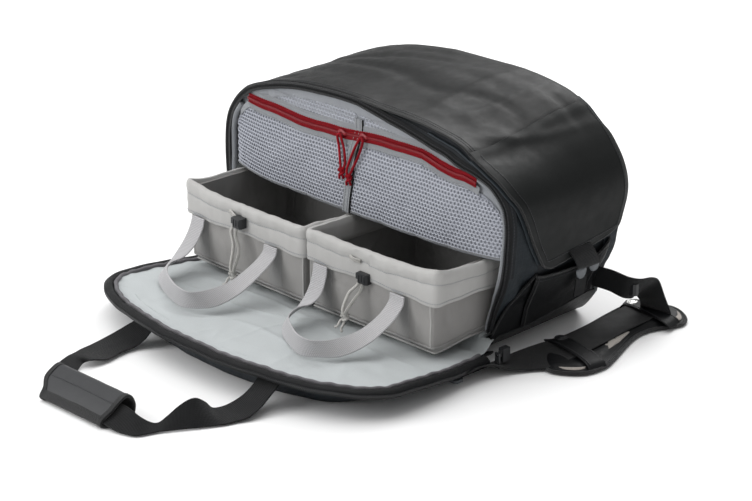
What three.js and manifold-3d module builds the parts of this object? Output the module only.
// Soft-sided gear duffel with a zipped drop-down front door, two pull-out totes,
// a mesh organiser, a side flap, a carry handle on the door and a shoulder strap.
// Millimetres. +Z up, +X to the right along the opening, -Y out of the front door.
// Origin: centre of the base on the ground. Shown with the door open and totes half out.
import * as THREE from 'three';
import Module from 'manifold-3d';

// ---- driving dimensions -------------------------------------------------------
const HALF_W = 268;          // widest half width of the body
const BASE_HALF_W = 250;     // half width at the ground
const FLARE_H = 150;         // height where the side reaches its widest
const SIDE_H = 176;          // height where the side turns into the arched top
const APEX_H = 303;          // top of the arch
const ARCH_POWER_X = 2.1, ARCH_POWER_Z = 2.5;  // superellipse exponents of the arch
const FRONT_Y = -109.5, BACK_Y = 110;  // body between zip ring and back panel
const SHELL_FRONT_Y = -105.7;
const LINING_Y = [-103.5, 109];
const SHELL_T = 4;           // coated shell panel
const BASE_T = 18;           // stiff base
const PAD_T = 13;            // padded floor, with its gap
const GAP = 0.3;             // sewing clearance between panels
const SHELL_Z = BASE_T + GAP;  // lower edge of the panels above the base
const CREASE_X = 175;        // fold line between top and side flap
const FLAP_Z = 128;          // lower edge of the side flap
const DOOR_FOLD_Y = -120.5, DOOR_FOLD_Z = 9;
const DOOR_TILT = 5.3 * Math.PI / 180;  // upward slope of the open door from its fold
const DOOR_T = 4;
const ZIP_W = 11;            // half of the main zip, tape and teeth
const TOTE_W = 226, TOTE_D = 190, TOTE_H = 108, TOTE_WALL = 3;
const TOTE_Z = 36;           // underside of the totes
const CUFF_H = 42;           // folded tote cuff
const MESH_Y = -98;          // plane of the mesh organiser
const SHELF_Z = 149.5;       // shelf under the organiser compartment
const RED_ZIP_Z = 239;
const SEAM_X = -8;           // centre seam of the organiser
const HANDLE_WEB = 38, TOTE_WEB = 25;  // webbing widths
const BEYOND = 300;          // x reach of cutting shapes, outside the body

const wasm = await Module();
wasm.setup();

// ---- solid helpers ------------------------------------------------------------
const WELD_STEPS = 5000;     // welding grid, steps per millimetre

// merge coincident corners, drop collapsed triangles
function toManifold(geometry) {
  const position = geometry.getAttribute('position'), index = geometry.getIndex();
  const count = index ? index.count : position.count;
  const seen = new Map(), vertices = [], corners = [], triangles = [];
  for (let i = 0; i < count; i++) {
    const k = index ? index.getX(i) : i;
    const point = [position.getX(k), position.getY(k), position.getZ(k)];
    const key = point.map(q => Math.round(q * WELD_STEPS)).join(',');
    if (!seen.has(key)) {
      seen.set(key, vertices.length / 3);
      vertices.push(...point);
    }
    corners.push(seen.get(key));
  }
  for (let i = 0; i < count; i += 3) {
    const [a, b, c] = corners.slice(i, i + 3);
    if (a !== b && b !== c && a !== c) triangles.push(a, b, c);
  }
  return new wasm.Manifold(new wasm.Mesh({
    numProp: 3,
    vertProperties: new Float32Array(vertices),
    triVerts: new Uint32Array(triangles),
  }));
}
function toGeometry(positions, triangles) {
  const geometry = new THREE.BufferGeometry();
  geometry.setAttribute('position', new THREE.Float32BufferAttribute(positions, 3));
  geometry.setIndex(Array.from(triangles));
  return geometry;
}
function combine(method, body, tools) {
  const result = tools.reduce((m, tool) => m[method](toManifold(tool)), toManifold(body));
  const mesh = result.getMesh();
  return toGeometry(mesh.vertProperties, mesh.triVerts);
}
const cut = (body, ...tools) => combine('subtract', body, tools);
const join = (body, ...tools) => combine('add', body, tools);
const common = (body, ...tools) => combine('intersect', body, tools);

// closed triangle mesh, turned outward if its volume comes out negative
function solid(points, triangles) {
  let volume = 0;
  for (let i = 0; i < triangles.length; i += 3) {
    const [a, b, c] = [0, 1, 2].map(k => vec(points[triangles[i + k]]));
    volume += a.dot(b.cross(c));
  }
  const flipped = (_, i) => triangles[i - i % 3 + [0, 2, 1][i % 3]];
  return toGeometry(points.flat(), volume > 0 ? triangles : triangles.map(flipped));
}
// a polygon pushed along an axis: 'x' takes (y,z), 'y' takes (x,z), 'z' takes (x,y)
function slab(polygon, axis, [start, end]) {
  const shape = new THREE.Shape(polygon.map(p => new THREE.Vector2(p[0], p[1])));
  const geometry = new THREE.ExtrudeGeometry(shape,
    { depth: end - start, bevelEnabled: false, curveSegments: 1 });
  const position = geometry.getAttribute('position');
  for (let i = 0; i < position.count; i++) {
    const x = position.getX(i), y = position.getY(i), z = position.getZ(i);
    if (axis === 'y') position.setXYZ(i, x, end - z, y);
    else if (axis === 'x') position.setXYZ(i, z + start, x, y);
    else position.setXYZ(i, x, y, z + start);
  }
  return geometry;
}
// two outlines with the same number of points, at two heights
function frustum(top, topZ, bottom, bottomZ) {
  const n = top.length, triangles = [];
  const points = [...top.map(([x, y]) => [x, y, topZ]), ...bottom.map(([x, y]) => [x, y, bottomZ])];
  const outline = top.map(([x, y]) => new THREE.Vector2(x, y));
  for (const [a, b, c] of THREE.ShapeUtils.triangulateShape(outline, [])) {
    triangles.push(a, b, c, a + n, c + n, b + n);
  }
  for (let i = 0; i < n; i++) {
    const j = (i + 1) % n;
    triangles.push(i, i + n, j, j, i + n, j + n);
  }
  return solid(points, triangles);
}
// boxes take [low, high] ranges; the chamfer is on the upright edges
const box = ([x0, x1], [y0, y1], z) => slab([[x0, y0], [x1, y0], [x1, y1], [x0, y1]], 'z', z);
const chamferBox = ([x0, x1], [y0, y1], z, c) => slab([
  [x0 + c, y0], [x1 - c, y0], [x1, y0 + c], [x1, y1 - c],
  [x1 - c, y1], [x0 + c, y1], [x0, y1 - c], [x0, y0 + c]], 'z', z);
const around = (centre, half) => [centre - half, centre + half];
const grow = ([low, high], by) => [low - by, high + by];

const vec = (p) => new THREE.Vector3(...p);
function smooth(points, steps) {
  const curve = new THREE.CatmullRomCurve3(points.map(vec), false, 'centripetal');
  return curve.getPoints(steps).map(p => p.toArray());
}
const tangentAt = (path, i) => vec(path[Math.min(path.length - 1, i + 1)])
  .sub(vec(path[Math.max(0, i - 1)])).normalize();
const offset = (point, u, a, v, b) => vec(point).addScaledVector(u, a).addScaledVector(v, b).toArray();

// skin over a row of equal rings, closed at both ends
function loft(rings) {
  const sides = rings[0].length, last = (rings.length - 1) * sides, triangles = [];
  for (let start = 0; start < last; start += sides) {
    for (let k = 0; k < sides; k++) {
      const a = start + k, b = start + (k + 1) % sides;
      triangles.push(a, b, b + sides, a, b + sides, a + sides);
    }
  }
  for (let k = 1; k + 1 < sides; k++) {
    triangles.push(0, k + 1, k, last, last + k, last + k + 1);
  }
  return solid(rings.flat(), triangles);
}
// flat band along a path; width directions are spread evenly along it,
// width is one number or one per path point
function band(path, directions, width, thickness) {
  return loft(path.map((point, i) => {
    const along = tangentAt(path, i);
    const f = i / (path.length - 1) * (directions.length - 1);
    const k = Math.min(directions.length - 2, Math.floor(f));
    const across = directions.length > 1
      ? vec(directions[k]).lerp(vec(directions[k + 1]), f - k) : vec(directions[0]);
    across.addScaledVector(along, -across.dot(along)).normalize();
    const normal = along.clone().cross(across);
    const w = Array.isArray(width) ? width[i] : width;
    return [[-1, -1], [1, -1], [1, 1], [-1, 1]].map(([a, b]) =>
      offset(point, across, a * w / 2, normal, b * thickness / 2));
  }));
}
function rod(path, radius, sides) {
  let up = Math.abs(tangentAt(path, 0).z) < 0.8 ? vec([0, 0, 1]) : vec([1, 0, 0]);
  return loft(path.map((point, i) => {
    const along = tangentAt(path, i);
    up = up.clone().addScaledVector(along, -up.dot(along)).normalize();
    const across = along.clone().cross(up);
    return Array.from({ length: sides }, (_, k) => {
      const angle = k / sides * Math.PI * 2;
      return offset(point, up, Math.cos(angle) * radius, across, Math.sin(angle) * radius);
    });
  }));
}
const knotBall = (x, y, z, radius) => new THREE.IcosahedronGeometry(radius, 1).translate(x, y, z);

// ---- arched outline of the body -----------------------------------------------
// station t runs 0..1 from the left ground edge over the top to the right ground edge,
// with the first and last quarters on the sides
function outlineAt(t) {
  if (t < 0.25 || t > 0.75) {
    const side = t < 0.25 ? -1 : 1, z = SIDE_H * (t < 0.25 ? t / 0.25 : (1 - t) / 0.25);
    const flare = Math.sin(Math.PI / 2 * Math.min(1, z / FLARE_H));
    return [side * (BASE_HALF_W + (HALF_W - BASE_HALF_W) * flare), z];
  }
  const angle = Math.PI - Math.PI * (t - 0.25) / 0.5;
  const c = Math.cos(angle), s = Math.max(0, Math.sin(angle));
  return [HALF_W * Math.sign(c) * Math.pow(Math.abs(c), 2 / ARCH_POWER_X),
    SIDE_H + (APEX_H - SIDE_H) * Math.pow(s, 2 / ARCH_POWER_Z)];
}
// outline point moved inward by a depth
function insetAt(t, depth) {
  const a = outlineAt(Math.max(0, t - 0.004)), b = outlineAt(Math.min(1, t + 0.004));
  const [x, z] = outlineAt(t), dx = b[0] - a[0], dz = b[1] - a[1], length = Math.hypot(dx, dz);
  return [x + dz / length * depth, z - dx / length * depth];
}
function stationAtX(x) {
  let t = 0;
  while (outlineAt(t)[0] < x) t += 0.0005;
  return t;
}
const leftAt = (z) => 0.25 * z / SIDE_H, rightAt = (z) => 1 - 0.25 * z / SIDE_H;
const wallX = (z) => outlineAt(rightAt(z))[0];
const insetRun = (depth, t0, t1, steps) =>
  Array.from({ length: steps + 1 }, (_, i) => insetAt(t0 + (t1 - t0) * i / steps, depth));
// closed strip between two depths
const strip = ([outer, inner], [t0, t1], steps) =>
  [...insetRun(outer, t0, t1, steps), ...insetRun(inner, t0, t1, steps).reverse()].reverse();
// whole arch above a height, closed straight across the bottom
const arch = (depth, z, steps = 44) => insetRun(depth, leftAt(z), rightAt(z), steps).reverse();
const panel = (depths, stations, steps, y) => slab(strip(depths, stations, steps), 'y', y);

// ---- assembly -----------------------------------------------------------------
const root = new THREE.Group();
root.name = 'gear_duffel';
const FINISHES = {
  coated: { color: 0x2a2b2d, roughness: 0.42 },
  slate: { color: 0x3a3f44, roughness: 0.7 },
  black: { color: 0x18191a, roughness: 0.75 },
  lining: { color: 0xb7bcb9, roughness: 0.85 },
  greyweb: { color: 0x9b9b99, roughness: 0.8 },
  mesh: { color: 0x9fa1a8, roughness: 0.85 },
  red: { color: 0xb01c2e, roughness: 0.55 },
  tote: { color: 0xa5a19b, roughness: 0.7 },
  plastic: { color: 0x151516, roughness: 0.4 },
  cord: { color: 0xd9d8d4, roughness: 0.8 },
  metal: { color: 0xb9bbbe, roughness: 0.3, metalness: 0.9 },
  board: { color: 0x8f8c87, roughness: 0.8 },
};
function add(name, geometry, finish, parent = root) {
  const mesh = new THREE.Mesh(geometry, new THREE.MeshStandardMaterial(FINISHES[finish]));
  mesh.name = name;
  parent.add(mesh);
}

// ---- body shell ---------------------------------------------------------------
const CREASE = stationAtX(CREASE_X);
const LEFT_FOOT = leftAt(SHELL_Z), RIGHT_FOOT = rightAt(SHELL_Z);
const B = BASE_HALF_W;
add('base_panel', slab([
  [-B + 14, FRONT_Y], [B - 14, FRONT_Y], [B - 4, FRONT_Y + 10], [B - 4, BACK_Y - 12],
  [B - 16, BACK_Y], [-B + 16, BACK_Y], [-B + 4, BACK_Y - 12], [-B + 4, FRONT_Y + 10],
], 'z', [0, BASE_T]), 'black');
add('floor_pad', chamferBox([-236, 236], [-104, 106], [SHELL_Z, BASE_T + PAD_T], 8), 'lining');
add('top_shell', panel([0, SHELL_T], [LEFT_FOOT, CREASE], 34, [SHELL_FRONT_Y, BACK_Y]), 'coated');
add('lining', panel([SHELL_T + 0.5, SHELL_T + 2.5], [LEFT_FOOT, CREASE], 30, LINING_Y), 'lining');

// side flap, its front and back edges trimmed to (y, z) outlines
const flapBlank = panel([0, SHELL_T], [stationAtX(CREASE_X + 3), rightAt(FLAP_Z)], 14, [-100, 98]);
const flapTrims = [
  [[-150, 320], [-99, 285], [-92, 250], [-46, FLAP_Z - 2], [-46, 100], [-150, 100]],
  [[150, 100], [86, 100], [86, FLAP_Z - 2], [92, 230], [97, 285], [150, 320]],
].map(outline => slab(outline, 'x', [150, BEYOND]));
add('side_flap', cut(flapBlank, ...flapTrims), 'coated');
add('back_panel', slab(arch(0, 4, 40), 'y', [BACK_Y + GAP, 114.6]), 'coated');

// right end: wall with a window, gussets and a pocket open at the top
const endWall = panel([10, 13], [stationAtX(CREASE_X - 1), RIGHT_FOOT], 22, LINING_Y);
add('right_end_wall', cut(endWall, box([190, BEYOND], [-68, 78], [156, 236])), 'slate');
add('gusset_front',
  panel([SHELL_T + 0.6, 8.8], [CREASE, RIGHT_FOOT], 20, [SHELL_FRONT_Y, -61]), 'slate');
add('gusset_back',
  panel([0, SHELL_T], [CREASE + 0.004, RIGHT_FOOT], 20, [98.6, BACK_Y]), 'coated');
add('end_pocket', cut(
  panel([-3, 9.3], [rightAt(116), rightAt(20)], 10, [-59, 97.8]),
  panel([0, 6.3], [rightAt(122), rightAt(26)], 10, [-55, 94])), 'black');

// front opening: zip ring and rolled binding
const RING = [LEFT_FOOT, RIGHT_FOOT];
add('body_zip_chain', panel([0, ZIP_W], RING, 48, [FRONT_Y, -106]), 'black');
add('opening_binding', panel([ZIP_W + 0.4, ZIP_W + 2.6], RING, 40, [FRONT_Y, -104.5]), 'greyweb');

// ---- organiser compartment above the totes ------------------------------------
const RED_TAPE_Z = [RED_ZIP_Z - 9, RED_ZIP_Z + 6];
const TAPE_GAP = 0.5;        // between the mesh and the red zips
const HALVES = [['left', [-BEYOND, SEAM_X - 6.5]], ['right', [SEAM_X + 6.5, BEYOND]]];
const meshPart = (x, z) =>
  common(slab(arch(14.5, 60), 'y', around(MESH_Y, 2)), box(x, [-120, 0], z));

add('divider_shelf', chamferBox([-250, 250], [-95.5, 108.5], [SHELF_Z, SHELF_Z + 3], 4), 'lining');
for (const [side, x] of HALVES) {
  add(`mesh_${side}`, meshPart(x, [SHELF_Z, RED_TAPE_Z[0] - TAPE_GAP]), 'mesh');
}
add('mesh_header', meshPart([-BEYOND, BEYOND], [RED_TAPE_Z[1] + TAPE_GAP, 400]), 'mesh');
add('seam_tape',
  box(around(SEAM_X, 6), [MESH_Y - 2.3, MESH_Y + 1.7], [SHELF_Z, RED_TAPE_Z[1]]), 'greyweb');
for (const [side, x] of HALVES) add(`red_zip_${side}`, meshPart(x, RED_TAPE_Z), 'red');

// slider with a knotted two-strand pull leaning towards the seam
function redSlider(side, sign) {
  const radius = 1.3, sides = 5;
  const x = SEAM_X + 21 * sign, lean = -6 * sign, y = MESH_Y - 9.2, z = RED_ZIP_Z - 2;
  add(`red_slider_${side}`, join(
    box(around(x, 5), [MESH_Y - 5.2, MESH_Y - 2.3], [RED_ZIP_Z - 8, RED_ZIP_Z + 5]),
    box(around(x, 2), [MESH_Y - 7.4, MESH_Y - 5], [RED_ZIP_Z - 5, RED_ZIP_Z + 2])), 'red');
  const [leftStrand, rightStrand] = [-1, 1].map(s => rod(smooth([
    [x + 3.5 * s, y, z + 1],
    [x + 4 * s + lean * 0.3, y - 0.5, z - 20],
    [x + lean, y - 0.8, z - 42]], 5), radius, sides));
  add(`red_pull_${side}`, join(leftStrand, rightStrand,
    rod([[x - 4.6, y, z], [x + 4.6, y, z]], radius, sides),
    knotBall(x + lean, y, z - 44, 3.6),
    rod([[x + lean, y, z - 45], [x + lean - 3, y, z - 58]], radius, sides)), 'red');
}
redSlider('left', -1);
redSlider('right', 1);

// ---- drop-down door, laid out flat then sloped about its fold line -------------
const door = new THREE.Group();
door.name = 'door_group';
door.position.set(0, DOOR_FOLD_Y, DOOR_FOLD_Z);
door.rotation.x = -DOOR_TILT;
root.add(door);

// body outlines in door coordinates: x across, y negative towards the front
const layFlat = (outline) => outline.map(([x, z]) => [x, -(z - DOOR_FOLD_Z)]).reverse();
const DOOR_Z = 2;            // underside of the door panel
const DOOR_TOP = DOOR_Z + DOOR_T;
const DOOR_FACING_Z = [DOOR_TOP + GAP, DOOR_TOP + 2.9];
add('door_panel', slab(layFlat(arch(0.6, 15, 40)), 'z', [DOOR_Z, DOOR_TOP]), 'black', door);
add('door_lining', slab(layFlat(arch(ZIP_W + 2, 20, 40)), 'z', DOOR_FACING_Z), 'lining', door);
add('door_zip_chain',
  slab(layFlat(strip([0.6, ZIP_W + 1.4], [leftAt(18), rightAt(18)], 46)), 'z', DOOR_FACING_Z),
  'black', door);

// tapered pocket below the door, cut off just above the ground
const pocketBlank = frustum(layFlat(arch(17, 95, 28)), DOOR_Z - GAP,
  layFlat(arch(64, 112, 28)), -39);
const groundAt = (y) => 0.5 - DOOR_FOLD_Z + y * Math.tan(DOOR_TILT);
const belowGround = slab([[-330, -60], [10, -60], [10, groundAt(10)], [-330, groundAt(-330)]],
  'x', [-BEYOND, BEYOND]);
add('door_pocket', cut(pocketBlank, belowGround), 'slate', door);

// ---- carry handle under the front edge of the door -----------------------------
const HANDLE_PATH = [        // x, y, z
  [-122, -397, 32.5], [-124, -406, 30], [-138, -420, 21], [-149, -444, 12], [-149, -472, 9.5],
  [-123, -515, 12], [-104, -546, 14], [-70, -563, 15], [0, -566, 15], [52, -565, 15],
  [88, -556, 14], [112, -520, 12], [124, -480, 9.5], [120, -446, 12], [108, -420, 21],
  [102, -406, 30], [101, -397, 32.5],
];
const HANDLE_ACROSS = [      // width directions
  [1, 0, 0.01], [0.8, 0.3, 0], [0.7, -0.6, 0.02], [0, -1, 0],
  [0, -1, 0], [-0.7, -0.6, 0.02], [-0.8, 0.3, 0], [-1, 0, 0.01],
];
add('handle_webbing', band(smooth(HANDLE_PATH, 34), HANDLE_ACROSS, HANDLE_WEB, 2.6), 'black');

// oval sleeve around the handle, slit along its underside
const polygonOf = (sides, pointAt) =>
  Array.from({ length: sides }, (_, i) => pointAt(i / sides * Math.PI * 2));
const sleeveOval = (radiusY, radiusZ) => polygonOf(10, angle =>
  [-565.5 + Math.cos(angle) * radiusY, 16.5 + Math.sin(angle) * radiusZ]);
const SLEEVE_CUT_X = [-80, 62];
add('handle_wrap', cut(
  slab(sleeveOval(27, 15), 'x', [-68, 50]),
  slab(sleeveOval(27 * 0.88, 15 * 0.8), 'x', SLEEVE_CUT_X),
  box(SLEEVE_CUT_X, [-569, -566.5], [-5, 10])), 'coated');

// main zip slider at the lower right end of the opening, with its pull
add('main_slider', join(
  box([259.5, 268], [-117.5, -105], [16, 34]),
  box([261.5, 266], [-120.5, -117], [24, 31])), 'plastic');
add('main_slider_pull', cut(
  chamferBox([260, 268], [-125.3, -122.1], [10, 30], 0.6),
  box([262.2, 265.6], [-130, -110], [25, 28.2]),
  box([262, 266], [-130, -110], [12.5, 20])), 'plastic');

// ---- totes --------------------------------------------------------------------
const TOTE_CHAMFER = 20;     // lower front edge
const CUFF_OUT = 2.8;        // cuff face beyond the tote body
const TOTE_ACROSS = [        // width directions of the handle
  [1, 0, 0], [1, 0, 0], [0.8, 0, 0.6], [0.1, 0, 1], [0, 0, 1], [0, 0, 1],
  [0, 0, 1], [-0.1, 0, 1], [-0.8, 0, 0.6], [-1, 0, 0], [-1, 0, 0],
];
function tote(side, { x0, y0, handleX, loop, lock, knot }) {
  const x1 = x0 + TOTE_W, y1 = y0 + TOTE_D, z0 = TOTE_Z, z1 = z0 + TOTE_H;
  const w = TOTE_WALL, c = TOTE_CHAMFER, x = [x0, x1], y = [y0, y1];
  const outer = slab([[y0, z0 + c], [y0 + c, z0], [y1 - 4, z0], [y1, z0 + 4],
    [y1, z1], [y0, z1]], 'x', x);
  const inner = slab([[y0 + w, z0 + c + 1.5], [y0 + c + 1.5, z0 + w], [y1 - 6, z0 + w],
    [y1 - w, z0 + 7], [y1 - w, z1 + 5], [y0 + w, z1 + 5]], 'x', grow(x, -w));
  add(`tote_${side}_body`, cut(outer, inner), 'tote');

  const cuffZ = z1 - CUFF_H;
  add(`tote_${side}_cuff`, cut(
    box(grow(x, CUFF_OUT), grow(y, CUFF_OUT), [cuffZ, z1 + 0.2]),
    box(grow(x, 0.4), grow(y, 0.4), [cuffZ - 5, z1 + 5])), 'tote');
  add(`tote_${side}_board`, chamferBox(grow(x, -w - 0.5), [y0 + c + 4, y1 - 8],
    [z0 + w + GAP, z0 + w + 3.3], 3), 'board');

  const [startEnd, finishEnd] = handleX.map(endX => [endX, y0 - CUFF_OUT - 1.9, cuffZ - 2]);
  add(`tote_${side}_handle`,
    band(smooth([startEnd, ...loop, finishEnd], 36), TOTE_ACROSS, TOTE_WEB, 2), 'greyweb');

  // cord lock on the cuff, its button and the knotted cord below
  const [lockX, lockZ] = lock, lockY = y0 - CUFF_OUT - 0.5;
  add(`tote_${side}_lock`, cut(
    chamferBox(around(lockX, 9), [lockY - 13, lockY], around(lockZ, 7), 2),
    box([lockX - 12, lockX - 2], [lockY - 10, lockY - 3], around(lockZ, 4.4)),
    box([lockX + 1, lockX + 5.4], [lockY - 9.5, lockY - 3.5], [lockZ - 20, lockZ + 4])), 'plastic');
  add(`tote_${side}_button`,
    box([lockX - 14, lockX - 6.2], [lockY - 9.6, lockY - 3.4], around(lockZ, 4)), 'plastic');
  const cordX = lockX + 3.2, cordY = lockY - 6.5, [knotX, knotZ] = knot, knotY = cordY - 3;
  const knotPoint = [knotX, knotY, knotZ];
  add(`tote_${side}_cord`, join(
    rod(smooth([[cordX, cordY, lockZ - 8.4], [cordX, cordY, lockZ - 14],
      [cordX - 4, cordY - 4, lockZ - 34], [knotX + 4, cordY - 4, knotZ + 26], knotPoint], 10), 1.6, 6),
    knotBall(...knotPoint, 5),
    rod([knotPoint, [knotX - 5, knotY - 3, knotZ - 12]], 1.5, 6),
    rod([knotPoint, [knotX + 4, knotY - 5, knotZ - 11]], 1.5, 6)), 'cord');
}
// x0, y0: left and front faces; handleX: handle ends; loop: x, y, z; lock and knot: x, z
tote('left', {
  x0: -236, y0: -203, handleX: [-219, -70], lock: [-129, 120], knot: [-137, 46],
  loop: [[-219, -222, 76], [-216, -248, 58], [-208, -276, 50], [-180, -300, 50],
    [-141, -322, 52], [-105, -335, 54], [-84, -330, 54], [-74, -308, 54],
    [-72, -270, 60], [-71, -235, 78]],
});
tote('right', {
  x0: 0, y0: -190, handleX: [23, 163], lock: [101, 105], knot: [68, 44],
  loop: [[25, -208, 72], [25, -228, 58], [28, -258, 50], [48, -286, 49],
    [83, -309, 51], [113, -321, 52], [136, -315, 52], [152, -296, 52],
    [160, -260, 57], [162, -222, 72]],
});

// ---- side flap closure: tab and hook on the flap, catch loop on the pocket ------
const TAB_Y = 22;
// stations: height the wall is taken at, distance from the wall, z
const closureWeb = (stations) =>
  band(stations.map(([wallZ, out, z]) => [wallX(wallZ) + out, TAB_Y, z]), [[0, 1, 0]], 20, 1.4);
add('flap_tab',
  closureWeb([[150, -5.6, 150], [126, -5.4, 126], [116, 5.6, 118], [108, 5.4, 106]]), 'black');
add('flap_hook', slab([
  [11, 96], [33, 96], [36, 100], [36, 105.3], [30, 105.3],
  [30, 102], [14, 102], [14, 105.3], [8, 105.3], [8, 100],
], 'x', [wallX(108) + 4.6, wallX(108) + 7.8]), 'metal');
add('catch_loop', closureWeb([[94, 5.6, 94], [82, 5.8, 82], [68, 5.2, 68]]), 'black');

// ---- shoulder strap: anchors, hooks, webbing, pad, keepers and snaps ------------
add('anchor_front', join(
  box([222, 240], [-164, -110], [0.6, 2.8]),
  box([222, 240], [-168, -163], [0.6, 4.4])), 'black');
add('anchor_back', join(
  box([268.4, 270.6], [99, 109], [48, 72]),
  box([268.4, 279], [101, 104], [50, 70])), 'black');
add('hook_front', cut(
  chamferBox([218, 250], [-184, -168.6], [0.6, 4.6], 3),
  box([224, 244], [-179, -173], [-1, 8])), 'metal');
add('hook_back', cut(
  chamferBox([279.6, 296], [99, 110], [52, 68], 3),
  box([284, 291], [102, 107], [40, 80])), 'metal');

const STRAP_T = 2.4;
add('strap_web_front', band(
  smooth([[257, -181, 2.8], [260, -152, 3.2], [266, -120, 3.6], [276, -92, 5.5], [290, -66, 7]], 12),
  [[1, 0, 0], [1, 0, 0], [1, -0.2, 0.12], [1, -0.5, 0.2], [1, -0.9, 0]],
  [10, 14, 18, 22, 25, 28, 30, 32, 33, 34, 35, 37, 38], STRAP_T), 'black');
add('strap_web_back', band(
  smooth([[290.6, 113.2, 58], [297, 126, 54], [303, 145, 44], [301, 166, 28], [292, 181, 13]], 12),
  [[0, 0, 1], [0, 0, 1], [0.5, 0, 1], [1, 0, 0.3], [1, 0, 0]], 36, STRAP_T), 'black');
add('shoulder_pad', slab([
  [288, -58], [310, -62], [348, -34], [350, 20], [340, 70], [330, 120], [330, 160],
  [318, 170], [254, 160], [254, 120], [262, 70], [268, 20], [270, -30],
], 'z', [1, 11]), 'black');

// keepers across the pad, each with a round snap; near is towards the front
const keeper = (start, end) =>
  band([[...start, 12.8], [...end, 12.8]], [[0.1, 1, 0]], 24, 2.2);
add('pad_keeper_near', keeper([272, -14], [345, -24]), 'coated');
add('pad_keeper_far', keeper([258, 138], [327, 148]), 'coated');
const SNAP_R = 6, SNAP_T = 2.2, SNAP_SIDES = 16;
const snap = (x, y) => slab(polygonOf(SNAP_SIDES, start => {
  const angle = start + Math.PI / SNAP_SIDES;
  return [Math.cos(angle) * SNAP_R, Math.sin(angle) * SNAP_R];
}), 'z', around(0, SNAP_T / 2)).translate(x, y, 15.4);
add('snap_near', snap(282, -15.5), 'plastic');
add('snap_far', snap(266, 139.4), 'metal');

export default root;
